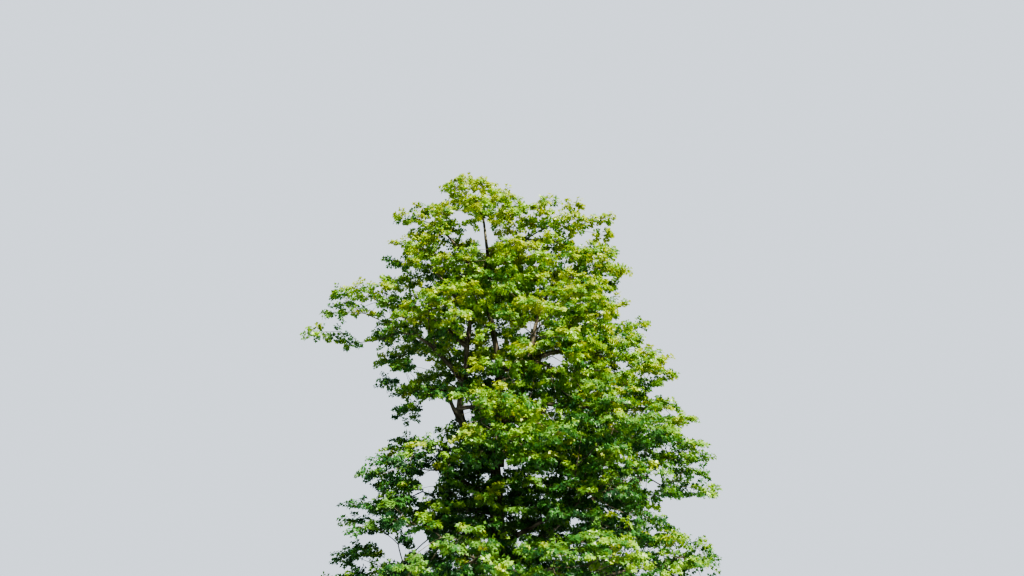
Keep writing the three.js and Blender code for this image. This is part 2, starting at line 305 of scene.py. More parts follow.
def leaf_material(name, surface_colour, through_colour):
    """A thin leaf: part of the light is sent back and part shines through."""
    material, tree = new_material(name.replace("leaves_", "thin maple leaf, "))
    surface = add_node(tree, "ShaderNodeBsdfPrincipled",
                       {"Base Color": linear(surface_colour), "Roughness": LEAF_ROUGHNESS,
                        "Specular IOR Level": LEAF_SHEEN})
    through = add_node(tree, "ShaderNodeBsdfTranslucent", {"Color": linear(through_colour)})
    leaf = add_node(tree, "ShaderNodeMixShader", {0: LEAF_GLOW},
                    {1: surface.outputs[0], 2: through.outputs[0]})
    add_node(tree, "ShaderNodeOutputMaterial", (), {"Surface": leaf.outputs[0]})
    return material


leaf_materials = {name: leaf_material(name, front, back) for name, (_, front, back) in LEAF_TINTS.items()}
print("made", len(leaf_materials), "leaf tints")

# %% [markdown]
# The frame gives each limb as a faceted solid. Its centreline and thickness are read back by
# slicing it at right angles to its length: the middle of a slice is a point of the line, and its
# area gives the radius. The new limb is then swept along the same line, so it sits where the
# solid sits.

# %% Reading a limb back from its solid
LIMB_SOLID_SIDES = 6
TRUNK_SOLID_SIDES = 12
SLICES = 26
ROOT_SKIP = 0.22
FOOT_SKIP = 0.004
TIP_SKIP = 0.05
STEP = 0.05
TRUNK_ROUNDING = 2
LIMB_ROUNDING = 6
NO_LENGTH = 1e-9


def mesh_arrays(mesh):
    """The corner places and the triangles of a mesh."""
    mesh.calc_loop_triangles()
    places = np.empty(len(mesh.vertices) * 3)
    mesh.vertices.foreach_get("co", places)
    corners = np.empty(len(mesh.loop_triangles) * 3, dtype=int)
    mesh.loop_triangles.foreach_get("vertices", corners)
    return places.reshape(-1, 3), corners.reshape(-1, 3)


def unit(vectors):
    """The same directions at length one."""
    return vectors / np.maximum(np.linalg.norm(vectors, axis=-1, keepdims=True), NO_LENGTH)


def gap_to(places, spot):
    """How far a spot is from the nearest of some places."""
    return np.linalg.norm(places - spot, axis=1).min()


def section(triangles, point, normal):
    """The middle and the area of the flat slice of a solid."""
    height = (triangles - point) @ normal
    above = height > 0
    cut = above.any(1) & ~above.all(1)
    corners, height, above = triangles[cut], height[cut], above[cut]
    alone = np.where(above.sum(1) == 1, above.argmax(1), (~above).argmax(1))
    rows = np.arange(len(corners))
    ends = []
    for step in (1, 2):
        other = (alone + step) % 3
        share = height[rows, alone] / (height[rows, alone] - height[rows, other])
        ends.append(corners[rows, alone] * (1 - share[:, None]) + corners[rows, other] * share[:, None])
    length = np.linalg.norm(ends[1] - ends[0], axis=1)
    middle = ((ends[0] + ends[1]) * length[:, None]).sum(0) / (2 * length.sum())
    area = np.abs(np.cross(ends[0] - middle, ends[1] - middle) @ normal).sum() / 2
    return middle, area


def read_limb(name, sides, chord=None):
    """The middles and radii of the slices of a limb, from its root to its tip."""
    places, corners = mesh_arrays(nodes[name].data)
    spread = places - places.mean(0)
    if chord is None:
        chord = np.linalg.svd(spread, full_matrices=False)[2][0]
        along = spread @ chord
        ends = places[along.argmin()], places[along.argmax()]
        if math.hypot(*ends[0][:2]) > math.hypot(*ends[1][:2]):
            chord = -chord
    along = spread @ chord
    start = along.min() + (ROOT_SKIP if sides == LIMB_SOLID_SIDES else FOOT_SKIP)
    stops = np.linspace(start, along.max() - TIP_SKIP, SLICES)
    slices = [section(places[corners], places.mean(0) + chord * stop, chord) for stop in stops]
    middles = np.array([middle for middle, _ in slices])
    lean = np.abs(unit(np.gradient(middles, axis=0)) @ chord)
    areas = np.array([area for _, area in slices]) * lean
    return middles, np.sqrt(areas / (sides / 2 * math.sin(2 * math.pi / sides)))


def smooth_line(line, reach):
    """Rounds the bends of a line but keeps its ends."""
    if len(line) < 2 * reach + 2:
        return line
    padded = np.concatenate([np.repeat(line[:1], reach, 0), line, np.repeat(line[-1:], reach, 0)])
    kernel = np.hanning(2 * reach + 3)[1:-1]
    kernel /= kernel.sum()
    rounded = np.stack([np.convolve(padded[:, k], kernel, "valid") for k in range(padded.shape[1])], 1)
    hold = np.minimum(np.arange(len(line)), np.arange(len(line))[::-1])[:, None] / reach
    return line + (rounded - line) * np.clip(hold, 0, 1)


def even_steps(line, step):
    """The same line with its points a fixed step apart."""
    reach = np.concatenate([[0], np.linalg.norm(np.diff(line[:, :3], axis=0), axis=1).cumsum()])
    count = max(3, round(reach[-1] / step) + 1)
    wanted = np.linspace(0, reach[-1], count)
    return np.stack([np.interp(wanted, reach, line[:, k]) for k in range(line.shape[1])], 1)


ROOT_SEARCH = np.linspace(0.05, 1.0, 39)
ROOT_PULL = 0.65
ROOT_SWELL = 1.12


def into_parent(middles, radii, parent):
    """Carries a limb back from its first clean slice to the middle of the limb that bears it."""
    back = middles[0] - middles[2]
    back /= np.linalg.norm(back)
    tries = middles[0] + ROOT_SEARCH[:, None] * back
    gaps = np.linalg.norm(tries[:, None] - parent[None, :, :3], axis=2)
    best, near = np.unravel_index(gaps.argmin(), gaps.shape)
    origin = tries[best] * (1 - ROOT_PULL) + parent[near, :3] * ROOT_PULL
    return np.vstack([origin, middles]), np.concatenate([[radii[0] * ROOT_SWELL], radii])


WANDER = 0.22
WANDER_PITCH = 1.1
WANDER_OF_RADIUS = 0.35
WANDER_LEAST = 0.08
FADE_POINTS = 6
TIP_WANDER = 0.35
LIMB_APART = 7.3


def wandering(line, key):
    """Adds the small bends that a grown limb has, in proportion to its thickness."""
    moved = line.copy()
    for i, (x, y, z, radius) in enumerate(line):
        drift = noise.noise_vector(Vector((x, y, z)) / WANDER_PITCH + Vector((key * LIMB_APART, 0, 0)))
        fade = min(1.0, i / FADE_POINTS, (len(line) - 1 - i) / FADE_POINTS + TIP_WANDER)
        moved[i, :3] += np.array(drift) * WANDER * fade * (WANDER_OF_RADIUS * radius + WANDER_LEAST)
    return moved


LEADERS = ["leader_centre", "leader_left", "leader_right"]
THICK_FIRST = 0.6

limbs = {}
middles, radii = read_limb("trunk", TRUNK_SOLID_SIDES, UP)
limbs["trunk"] = even_steps(smooth_line(np.column_stack([middles, radii]), TRUNK_ROUNDING), STEP)
for key, name in enumerate([*LEADERS, *limb_names]):
    middles, radii = read_limb(name, LIMB_SOLID_SIDES)
    parent = min(
        (line for bearer, line in limbs.items() if bearer in ("trunk", *LEADERS)),
        key=lambda line: gap_to(line[:, :3], middles[0]) - THICK_FIRST * line[0, 3],
    )
    middles, radii = into_parent(middles, radii, parent)
    line = even_steps(np.column_stack([middles, radii]), STEP)
    limbs[name] = wandering(smooth_line(line, LIMB_ROUNDING), key)
for name, line in limbs.items():
    reach = np.linalg.norm(np.diff(line[:, :3], axis=0), axis=1).sum()
    print(f"{name}: {reach:.1f} m, radius {line[0, 3]:.3f} to {line[-1, 3]:.3f}")

# %% [markdown]
# A tube is made by carrying a ring of points along a line. Thousands of twigs are made at once, so
# the rings are worked out as arrays: one row for each tube, one column for each ring. Every tube
# ends in a point and has a cap at its root, so it is closed.

# %% Sweeping tubes


def sweep(lines, radii, sides):
    """Closed tubes along many lines with the same number of points. Gives places and triangles."""
    tubes, rings = lines.shape[:2]
    heading = unit(np.gradient(lines, axis=1))
    steadiest = np.eye(3)[np.abs(lines[:, -1] - lines[:, 0]).argmin(1)]
    across = unit(np.cross(heading, steadiest[:, None]))
    upward = np.cross(heading, across)
    turn = 2 * math.pi * np.arange(sides) / sides
    ring = across[:, :, None] * np.cos(turn)[:, None] + upward[:, :, None] * np.sin(turn)[:, None]
    places = lines[:, :, None] + ring * radii[:, :, None, None]
    places = places[:, :-1].reshape(tubes, -1, 3)
    places = np.concatenate([places, lines[:, -1:]], axis=1)
    a = np.arange(sides)
    b = (a + 1) % sides
    faces = []
    for r in range(rings - 2):
        low, high = r * sides, (r + 1) * sides
        faces.append(np.stack([low + a, low + b, high + b], 1))
        faces.append(np.stack([low + a, high + b, high + a], 1))
    last = (rings - 2) * sides
    faces.append(np.stack([last + a, last + b, np.full(sides, (rings - 1) * sides)], 1))
    inner = np.arange(1, sides - 1)
    faces.append(np.stack([np.zeros(sides - 2, int), inner + 1, inner], 1))
    faces = np.concatenate(faces)
    count = places.shape[1]
    faces = faces[None] + (np.arange(tubes) * count)[:, None, None]
    return places.reshape(-1, 3), faces.reshape(-1, 3)


def joined(parts):
    """Several meshes as one: their places and triangles, run together."""
    places, faces, total = [], [], 0
    for part_places, part_faces in parts:
        places.append(part_places)
        faces.append(part_faces + total)
        total += len(part_places)
    return np.concatenate(places), np.concatenate(faces)


def mesh_object(name, places, faces, material):
    """A new object at the origin from arrays of places and triangles."""
    mesh = bpy.data.meshes.new(name)
    mesh.vertices.add(len(places))
    mesh.vertices.foreach_set("co", places.astype(np.float32).ravel())
    mesh.loops.add(faces.size)
    mesh.loops.foreach_set("vertex_index", faces.astype(np.int32).ravel())
    mesh.polygons.add(len(faces))
    mesh.polygons.foreach_set("loop_start", np.arange(0, faces.size, 3, dtype=np.int32))
    mesh.update(calc_edges=True)
    mesh.materials.append(material)
    obj = bpy.data.objects.new(name, mesh)
    scene.collection.objects.link(obj)
    return obj


# %% [markdown]
# Limbs grow out of each other without a seam, and a fork is rounded. The trunk's solid and tubes
# for the feet of its limbs are run into each other, wrapped in one skin by a voxel remesh and
# smoothed. The leaders and boughs are made from their tubes in the same way, on a coarser grid,
# and start inside those feet.

# %% Trunk and boughs as one skin each
TRUNK_VOXEL = 0.02
BOUGH_VOXEL = 0.028
SMOOTH_SHARE = 0.5
TRUNK_SMOOTHING = 3
BOUGH_SMOOTHING = 2
STUB_LENGTH = 0.7
STUB_DRAWN_IN = 0.25
STUB_CURVE = 4
STUB_NEAR_TRUNK = 0.4
TUBE_SIDES = 24
WELD = 1e-4


def tube(line):
    """One closed tube along a line whose fourth column is its radius."""
    return sweep(line[None, :, :3], line[None, :, 3], TUBE_SIDES)


def stub(line):
    """The foot of a limb, drawn in at its end so that it dips under the limb's own skin."""
    foot = line[: round(STUB_LENGTH / STEP)].copy()
    foot[:, 3] *= 1 - STUB_DRAWN_IN * np.linspace(0, 1, len(foot)) ** STUB_CURVE
    return tube(foot)


def skin(name, parts, voxel, smoothing):
    """Wraps closed parts that overlap in one smooth skin."""
    obj = mesh_object(name, *joined(parts), bark)
    remesh = obj.modifiers.new("one skin", "REMESH")
    remesh.mode = "VOXEL"
    remesh.voxel_size = voxel
    remesh.use_smooth_shade = True
    smooth = obj.modifiers.new("rounded forks", "SMOOTH")
    smooth.factor = SMOOTH_SHARE
    smooth.iterations = smoothing
    evaluated = obj.evaluated_get(bpy.context.evaluated_depsgraph_get())
    wrapped = bpy.data.meshes.new_from_object(evaluated)
    obj.modifiers.clear()
    obj.data = wrapped
    return obj


def trunk_solid():
    """The trunk's own solid made whole, which has the right flare and ridges at its foot."""
    bm = bmesh.new()
    bm.from_mesh(nodes["trunk"].data)
    bmesh.ops.remove_doubles(bm, verts=bm.verts, dist=WELD)
    mesh = bpy.data.meshes.new("trunk solid")
    bm.to_mesh(mesh)
    bm.free()
    places, corners = mesh_arrays(mesh)
    bpy.data.meshes.remove(mesh)
    return places, corners


stubs, limb_tubes = [], []
for name, line in limbs.items():
    if name == "trunk":
        continue
    limb_tubes.append(tube(line))
    if gap_to(limbs["trunk"][:, :3], line[0, :3]) < STUB_NEAR_TRUNK:
        stubs.append(stub(line))
trunk_piece = skin("trunk_and_forks", [trunk_solid(), *stubs], TRUNK_VOXEL, TRUNK_SMOOTHING)
bough_piece = skin("leaders_and_boughs", limb_tubes, BOUGH_VOXEL, BOUGH_SMOOTHING)
print("trunk", len(trunk_piece.data.polygons), "faces, boughs", len(bough_piece.data.polygons), "faces")

# %% [markdown]
# The relief of the bark is pressed into the mesh. A cell pattern, drawn out along each limb, gives
# islands of ridge with furrows between them. It is deep on the trunk and fades on thin boughs. The
# place of each point in that drawn-out pattern is kept as the grain, so the shader's ridges follow
# the same limb.

# %% Bark relief
RIDGE_DEPTH = 0.014
FULL_RELIEF_RADIUS = 0.3
FURROW_SHARE = 0.32
FOOT_KEPT = 0.02
WAVER = 0.35
WAVER_SCALE = 6.0
RIDGE_MIDDLE = 0.6
SWELL = 1.2
SWELL_SCALE = 3.1


def finder_of(places):
    """A search tree over points."""
    finder = KDTree(len(places))
    for i, place in enumerate(places):
        finder.insert(place, i)
    finder.balance()
    return finder


def give_grain(obj, grain):
    """Stores for each point where it lies in the pattern of the bark."""
    attribute = obj.data.attributes.new("grain", "FLOAT_VECTOR", "POINT")
    attribute.data.foreach_set("vector", grain.astype(np.float32).ravel())


def press_bark(obj):
    """Moves each point of a limb's skin in or out along its normal, and stores the grain."""
    samples = np.concatenate(list(limbs.values()))
    chords = np.concatenate([np.repeat(unit(line[-1:, :3] - line[:1, :3]), len(line), 0)
                             for line in limbs.values()])
    finder = finder_of(samples[:, :3])
    mesh = obj.data
    places = np.empty(len(mesh.vertices) * 3)
    normals = np.empty(len(mesh.vertices) * 3)
    mesh.vertices.foreach_get("co", places)
    mesh.vertex_normals.foreach_get("vector", normals)
    places, normals = places.reshape(-1, 3), normals.reshape(-1, 3)
    squeeze = RIDGE_WIDTH / RIDGE_LENGTH - 1
    push = np.zeros(len(places))
    grain = np.empty_like(places)
    for i in range(len(places)):
        place = Vector(places[i])
        _, index, _ = finder.find(place)
        chord = Vector(chords[index])
        grain[i] = place + chord * (place.dot(chord) * squeeze)
        if place.z < FOOT_KEPT:
            continue
        spot = Vector(grain[i]) / RIDGE_WIDTH
        spot += noise.noise_vector(place * WAVER_SCALE) * WAVER
        (near, second, *_), _ = noise.voronoi(spot)
        ridge = min(1.0, (second - near) / FURROW_SHARE)
        depth = RIDGE_DEPTH * min(1.0, samples[index, 3] / FULL_RELIEF_RADIUS)
        push[i] = depth * (ridge - RIDGE_MIDDLE + noise.noise(place * SWELL_SCALE) * SWELL)
    mesh.vertices.foreach_set("co", (places + normals * push[:, None]).astype(np.float32).ravel())
    mesh.update()
    give_grain(obj, grain)


press_bark(trunk_piece)
press_bark(bough_piece)
lowest = min(v.co.z for v in trunk_piece.data.vertices)
print("bark relief pressed in, foot at", round(lowest, 4))

# %% [markdown]
# Branches and leaves fill the masses of foliage, so the script has to know where the crown's
# outside is. Two masses that touch share a hidden face. The faces that look out into the open are
# sorted out by stepping a little outwards from each one and seeing whether that lands in another
# mass. What is left is the crown's outer skin.

# %% The crown's outer skin
PEEK = 0.05


def tree_of(places, corners):
    """A search tree over triangles."""
    return BVHTree.FromPolygons(places.tolist(), corners.tolist())


def within(search, place):
    """Whether a place is inside the closed skin of a search tree."""
    nearest, normal, _, _ = search.find_nearest(place)
    return (nearest - place).dot(normal) > 0


masses = {}
for name in foliage_names:
    places, corners = mesh_arrays(nodes[name].data)
    low, high = places.min(0), places.max(0)
    masses[name] = {"places": places, "corners": corners, "low": low, "high": high,
                    "search": tree_of(places, corners)}


def outer_triangles():
    """The triangles of all masses that face the open."""
    kept = []
    for mass in masses.values():
        three = mass["places"][mass["corners"]]
        normal = unit(np.cross(three[:, 1] - three[:, 0], three[:, 2] - three[:, 0]))
        peeks = three.mean(1) + normal * PEEK
        for triangle, peek in zip(three, peeks):
            hidden = any(
                other is not mass and (peek > other["low"]).all() and (peek < other["high"]).all()
                and within(other["search"], Vector(peek))
                for other in masses.values()
            )
            if not hidden:
                kept.append(triangle)
    return np.array(kept)


open_faces = outer_triangles()
crown = tree_of(open_faces.reshape(-1, 3), np.arange(len(open_faces) * 3).reshape(-1, 3))
print(len(open_faces), "open faces of", sum(len(m["corners"]) for m in masses.values()))

# %% [markdown]
# In the crown the leaves sit in clumps about three quarters of a metre across, one at the end of
# each branchlet, close together near the outside and sparse in the shade inside. Their middles are
# scattered at random with a least distance between neighbours, which looks even but not regular.
# A clump is flatter than it is wide, so height counts for more in that distance.

# %% Clumps inside the masses
CLUMP_GAP_OUTSIDE = 0.715
CLUMP_GAP_INSIDE = 1.6
SHADE_STARTS = 0.7
SHADE_FULL = 1.7
LEAST_DEPTH = 0.12
HEIGHT_COUNTS = 1.36
SQUASH = np.array((1.0, 1.0, HEIGHT_COUNTS))
TRIES_PER_CUBIC_METRE = 45


def shade_at(depth):
    """How shaded a place that deep in the crown is, from nought to one."""
    return np.clip((depth - SHADE_STARTS) / (SHADE_FULL - SHADE_STARTS), 0, 1)


def strewn(rng, low, high, per_cubic_metre):
    """Places strewn at random in a box."""
    size = high - low
    return low + rng.random((int(size.prod() * per_cubic_metre), 3)) * size


def scatter_clumps(rng):
    """The clumps in the masses: the middle of each, how deep it lies, and its mass."""
    tries = []
    for name, mass in masses.items():
        for place in strewn(rng, mass["low"], mass["high"], TRIES_PER_CUBIC_METRE):
            spot = Vector(place)
            if within(mass["search"], spot):
                depth = crown.find_nearest(spot)[3]
                if depth > LEAST_DEPTH:
                    tries.append((place, depth, name))
    taken = np.empty((len(tries), 3))
    clumps = []
    for index in rng.permutation(len(tries)):
        place, depth, name = tries[index]
        gap = CLUMP_GAP_OUTSIDE + (CLUMP_GAP_INSIDE - CLUMP_GAP_OUTSIDE) * shade_at(depth)
        spot = place * SQUASH
        if len(clumps) and gap_to(taken[:len(clumps)], spot) < gap:
            continue
        taken[len(clumps)] = spot
        clumps.append((place, depth, name))
    return clumps


rng = np.random.default_rng(SEED)
clumps = scatter_clumps(rng)
print(len(clumps), "clumps in the masses")

# %% [markdown]
# The masses alone leave the limbs bare and the nooks between masses hollow. So more clumps stand
# off the limbs, a thin veil of them hangs in front of the stem, and others fill the nooks that the
# crown closes round. Each is added only where there is still room.

# %% Clumps by the limbs and in the nooks
CLEAR_STEM = 3.0
SIDE_STEP = round(0.1 / STEP)
SIDE_REACH = (0.35, 1.0)
SIDE_RISE = 0.25
SIDE_RISE_SPREAD = 0.3
VEILED = ("trunk", "leader_centre")
VEIL_TRIES = 2
VEIL_REACH = (0.45, 3.2)
VEIL_AZIMUTH = -math.pi / 2
VEIL_SPREAD = 0.5
VEIL_RISE = -0.1
VEIL_RISE_SPREAD = 0.1
NOOK_TRIES = 8
NOOK_LOOKS = 8
NOOK_SIGHT = 2.8
NOOK_CLOSED = 5
NOOK_REACH = 1.0
FILL_DEPTH = 0.6


def between(rng, ends, count=None):
    """Random values between two ends."""
    return ends[0] + rng.random(count) * (ends[1] - ends[0])


def stand_off(point, azimuth, reach, rise):
    """The place that far from a point of a limb, to that side of it."""
    return point[:3] + np.array((math.cos(azimuth), math.sin(azimuth), rise)) * reach


def limb_sides(rng):
    """Places that stand off the trunk and the limbs, with more of them in front of the stem."""
    found = []
    for name, line in limbs.items():
        first = line[:, 2].searchsorted(CLEAR_STEM) if name == "trunk" else SIDE_STEP
        for point in line[first::SIDE_STEP]:
            azimuth = rng.random() * 2 * math.pi
            reach = point[3] + SIDE_REACH[0] + rng.random() * (SIDE_REACH[1] - SIDE_REACH[0])
            rise = SIDE_RISE + SIDE_RISE_SPREAD * rng.random()
            found.append(stand_off(point, azimuth, reach, rise))
            for _ in range(VEIL_TRIES if name in VEILED else 0):
                azimuth = rng.normal(VEIL_AZIMUTH, VEIL_SPREAD)
                reach = between(rng, VEIL_REACH)
                rise = rng.normal(VEIL_RISE, VEIL_RISE_SPREAD)
                found.append(stand_off(point, azimuth, reach, rise))
    return found


def nooks(rng):
    """Places between the masses that the crown closes round."""
    low = np.min([mass["low"] for mass in masses.values()], axis=0)
    high = np.max([mass["high"] for mass in masses.values()], axis=0)
    turns = np.arange(NOOK_LOOKS) * 2 * math.pi / NOOK_LOOKS
    looks = [Vector((math.cos(turn), math.sin(turn), 0.0)) for turn in turns]
    found = []
    for place in strewn(rng, low, high, NOOK_TRIES):
        spot = Vector(place)
        nearest, normal, _, distance = crown.find_nearest(spot)
        if distance > NOOK_REACH or (nearest - spot).dot(normal) > 0:
            continue
        closed = sum(crown.ray_cast(spot, look, NOOK_SIGHT)[0] is not None for look in looks)
        if closed >= NOOK_CLOSED:
            found.append(place)
    return found


def fill_in(clumps, places):
    """Adds clumps at those places that are still free, and gives how many."""
    before = len(clumps)
    middles = {name: (mass["low"] + mass["high"]) / 2 for name, mass in masses.items()}
    taken = [place * SQUASH for place, _, _ in clumps]
    for place in places:
        spot = place * SQUASH
        if gap_to(np.array(taken), spot) > CLUMP_GAP_OUTSIDE:
            taken.append(spot)
            nearest = min(middles, key=lambda mass: np.linalg.norm(middles[mass] - place))
            clumps.append((place, FILL_DEPTH, nearest))
    return len(clumps) - before


by_limbs = fill_in(clumps, limb_sides(rng))
in_nooks = fill_in(clumps, nooks(rng))
print(by_limbs, "clumps by limbs,", in_nooks, "in nooks")

# %% [markdown]
# The photograph shows sky through the crown in some places and bare limbs in others. Each place is
# an oval on the upright plane through the stem, as seen from the camera: the sideways place and
# the height of its middle, half its width and half its height, in metres. No clump stays in a gap
# of sky.

# %% Sky gaps and bare limbs
SKY_GAPS = [
    (-0.69, 15.84, 0.40, 0.68), (-1.63, 16.71, 0.42, 0.26), (3.17, 15.84, 0.45, 0.16),
    (-3.94, 15.11, 0.26, 0.20), (-5.12, 12.19, 0.75, 0.42), (-2.81, 11.91, 0.14, 0.26),
    (-2.94, 10.81, 0.36, 0.22), (-3.37, 10.25, 0.42, 0.20), (-2.20, 8.91, 0.72, 0.46),
    (-1.05, 9.02, 0.16, 0.42), (2.02, 10.85, 0.32, 0.22), (1.77, 9.12, 0.24, 0.15),
    (0.11, 7.08, 0.12, 0.32), (5.14, 6.54, 0.28, 0.36), (5.99, 5.50, 0.50, 0.26),
    (-2.37, 6.64, 0.36, 0.44), (-2.61, 6.08, 0.30, 0.16), (-3.06, 5.08, 0.20, 0.22),
    (-3.44, 4.30, 0.48, 0.32), (-2.55, 4.61, 0.34, 0.42), (2.42, 5.27, 0.28, 0.18),
]
BARE_LIMBS = [
    (-1.42, 8.80, 0.25, 0.60), (-1.24, 11.49, 0.30, 1.05), (-1.97, 10.55, 0.46, 0.45),
    (-0.20, 11.60, 0.27, 0.55), (1.22, 12.03, 0.30, 0.60), (1.67, 11.00, 0.72, 0.23),
    (-0.50, 15.71, 0.23, 0.77), (-1.38, 15.97, 0.23, 0.70), (-2.10, 15.50, 0.34, 0.39),
    (-2.77, 14.24, 0.30, 0.33), (1.18, 15.93, 0.38, 0.43), (-2.25, 6.18, 0.40, 0.20),
]


def in_openings(places, openings, margin=0.0):
    """Which places are seen, from the camera, inside one of some oval openings."""
    nearness = CAMERA_DISTANCE / (places[:, 1] + CAMERA_DISTANCE)
    x = CAMERA_ASIDE + (places[:, 0] - CAMERA_ASIDE) * nearness
    z = EYE_HEIGHT + (places[:, 2] - EYE_HEIGHT) * nearness
    inside = np.zeros(len(places), bool)
    for middle_x, middle_z, half_width, half_height in openings:
        across = (x - middle_x) / (half_width + margin)
        upward = (z - middle_z) / (half_height + margin)
        inside |= across ** 2 + upward ** 2 < 1
    return inside


shut_out = in_openings(np.array([place for place, _, _ in clumps]), SKY_GAPS)
clumps = [clump for clump, out in zip(clumps, shut_out) if not out]
clump_places = np.array([place for place, _, _ in clumps])
clump_depths = np.array([depth for _, depth, _ in clumps])
clump_shades = shade_at(clump_depths)
print(shut_out.sum(), "clumps shut out,", len(clumps), "left")

# %% [markdown]
# Branches reach every clump from the limbs. They may spring from any place on a limb past its bare
# foot, and run through the necks where clumps begin and through spare points deep in the crown.

# %% Points that the wood may pass
LIMB_SPACING = 0.3
BARE_FOOT = 0.9
NECK_DROP = 0.1
WAYS_PER_CUBIC_METRE = 8
WAY_GAP = 0.75
WAY_DEPTH = 0.55


def way_points(rng):
    """Spare points inside the crown through which a branch may run."""
    points = []
    for mass in masses.values():
        for place in strewn(rng, mass["low"], mass["high"], WAYS_PER_CUBIC_METRE):
            spot = Vector(place)
            if not within(mass["search"], spot) or crown.find_nearest(spot)[3] < WAY_DEPTH:
                continue
            if points and gap_to(np.array(points), place) < WAY_GAP:
                continue
            points.append(place)
    return np.array(points)


def limb_points():
    """Places along the limbs from which a branch may spring, with the limb's radius and heading."""
    rows = []
    for name, line in limbs.items():
        if name == "trunk":
            continue
        marks = list(range(round(BARE_FOOT / STEP), len(line), round(LIMB_SPACING / STEP)))
        heading = unit(np.gradient(line[:, :3], axis=0))
        rows.append(np.column_stack([line, heading])[[*marks, -1]])
    return np.split(np.concatenate(rows), (3, 4), axis=1)


springs, spring_radii, spring_headings = limb_points()
necks = clump_places - UP * NECK_DROP
ways = way_points(rng)
points = np.concatenate([springs, necks, ways])
first_neck, first_way = len(springs), len(springs) + len(necks)
finder = finder_of(points)
print(len(springs), "places on limbs,", len(necks), "necks,", len(ways), "spare points")

# %% [markdown]
# The rule grows the wood like a real branch system. Starting from the limbs, it always adds the
# next cheapest stretch, where cheap means short, not far from the stem, not sharply bent and not
# across open air. Stretches that lead to no clump are left out later.

# %% Growing the branches
NEIGHBOURS = 18
DETOUR = 0.45
BEND_COST = 0.45
OPEN_AIR_COST = 3.0
AIR_LOOKS = (0.25, 0.5, 0.75)
AIR_REACH = 0.12
SAME_PLACE = 1e-6


def in_open_air(start, end):
    """The share of a straight stretch that lies outside the crown."""
    count = 0
    for share in AIR_LOOKS:
        spot = Vector(start * (1 - share) + end * share)
        nearest, normal, _, distance = crown.find_nearest(spot)
        count += distance > AIR_REACH and (nearest - spot).dot(normal) < 0
    return count / len(AIR_LOOKS)


def grow():
    """The parent of every point, from the cheapest wood outwards. Limb points have none."""
    parent = np.full(len(points), -1)
    reached = np.zeros(len(points), bool)
    cost = np.zeros(len(points))
    heading = np.zeros((len(points), 3))
    heading[:first_neck] = spring_headings
    queue = []

    def offer(index):
        for _, other, distance in finder.find_n(Vector(points[index]), NEIGHBOURS):
            if reached[other] or other < first_neck or distance < SAME_PLACE:
                continue
            way = (points[other] - points[index]) / distance
            bend = 1 - float(way @ heading[index])
            air = in_open_air(points[index], points[other])
            weight = distance * (1 + BEND_COST * bend ** 2 + OPEN_AIR_COST * air)
            heapq.heappush(queue, (weight + DETOUR * cost[index], int(other), int(index), weight))

    for index in range(first_neck):
        reached[index] = True
    for index in range(first_neck):
        offer(index)
    while queue:
        _, index, source, weight = heapq.heappop(queue)
        if reached[index]:
            continue
        reached[index] = True
        parent[index] = source
        cost[index] = cost[source] + weight
        heading[index] = unit(points[index] - points[source])
        offer(index)
    return parent, reached


parent, reached = grow()
print("reached", int(reached[first_neck:first_way].sum()), "of", len(necks), "clumps")

# %% [markdown]
# A branch is as thick as its burden: its cross-section is nearly the sum of those of all that it
# bears, as on real trees. Each branch follows the heaviest of the stretches at every fork, and the
# others start branches of their own. Stretches that bear no clump are left out.

# %% Thickness and main lines of the branches
CLUMP_TWIG_RADIUS = 0.0065
BURDEN_POWER = 2.3
MOST_OF_LIMB = 0.8

children = [[] for _ in points]
for index in range(first_neck, len(points)):
    if parent[index] >= 0:
        children[parent[index]].append(index)


def downward_order():
    """Every grown point after its parent."""
    order, stack = [], list(range(first_neck))
    while stack:
        index = stack.pop()
        order.append(index)
        stack.extend(children[index])
    return order


order = downward_order()
burden = np.zeros(len(points))
for index in reversed(order):
    if first_neck <= index < first_way:
        burden[index] += 1
    if index >= first_neck:
        burden[parent[index]] += burden[index]
thickness = CLUMP_TWIG_RADIUS * np.maximum(burden, 1) ** (1 / BURDEN_POWER)
for index in range(first_neck, len(points)):
    if parent[index] >= 0 and parent[index] < first_neck:
        thickness[index] = min(thickness[index], MOST_OF_LIMB * spring_radii[parent[index], 0])


def main_lines():
    """Runs of points, each following the heaviest child from a fork to a clump."""
    lines = []
    for index in order:
        bearing = [child for child in children[index] if burden[child] > 0]
        if not bearing:
            continue
        bearing.sort(key=lambda child: -burden[child])
        starts = bearing if index < first_neck else bearing[1:]
        for child in starts:
            run = [index, child]
            while True:
                onward = [c for c in children[run[-1]] if burden[c] > 0]
                if not onward:
                    break
                run.append(max(onward, key=lambda c: burden[c]))
            lines.append(run)
    return lines


runs = main_lines()
print(len(runs), "branches, thickest", round(float(thickness[first_neck:].max()), 3))

# %% [markdown]
# A branch bends softly from point to point. A curve that passes through all its points is drawn
# with a point every fifth of a metre and a little wobble, and a tube is swept along it.

# %% Branch tubes
BRANCH_STEP = 0.2
WOBBLE = 0.035
WOBBLE_SCALE = 2.1
ROOT_WIDENS = 1.25
TIP_THINS = 0.8
THICK_BRANCH = 0.018
THICK_SIDES = 7
THIN_SIDES = 5


